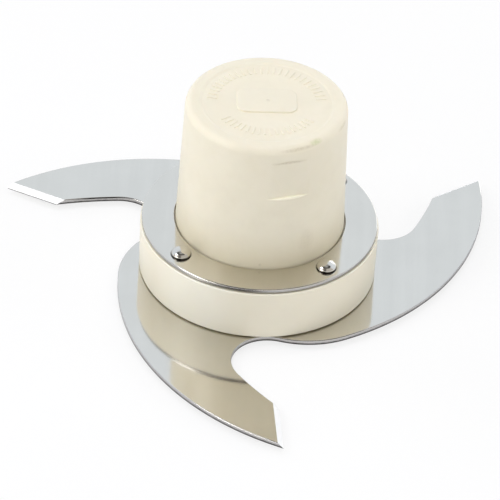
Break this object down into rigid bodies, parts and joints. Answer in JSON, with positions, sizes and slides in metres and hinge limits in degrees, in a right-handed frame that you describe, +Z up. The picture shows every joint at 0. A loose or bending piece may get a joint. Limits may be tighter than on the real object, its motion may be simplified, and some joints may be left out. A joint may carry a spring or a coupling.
{
  "type": "grinder blade",
  "caption": "Grinder cutter: swept steel blades with ground tips, riveted under a cream plastic hub with a tall knob, a side flat, a steel ring and a hexagonal drive socket.",
  "frame": {"origin": "on the spin axis at the blind end of the hexagonal drive socket, which is where the spindle's tip seats", "axes": "+Z up along the spin axis, out of the crown of the knob; the flat on the knob's side faces between +X and -Y"},
  "size_m": [0.1364, 0.1261, 0.06],
  "materials": {
    "cream_plastic": "satin",
    "ring_steel": "polished",
    "blade_steel": "polished",
    "rivet_steel": "polished"
  },
  "bodies": {
    "root": {"hub": "cream_plastic", "top_ring": "ring_steel", "blade": "blade_steel", "rivet_1": "rivet_steel", "rivet_2": "rivet_steel", "rivet_3": "rivet_steel", "rivet_4": "rivet_steel"}
  },
  "joints": []
}
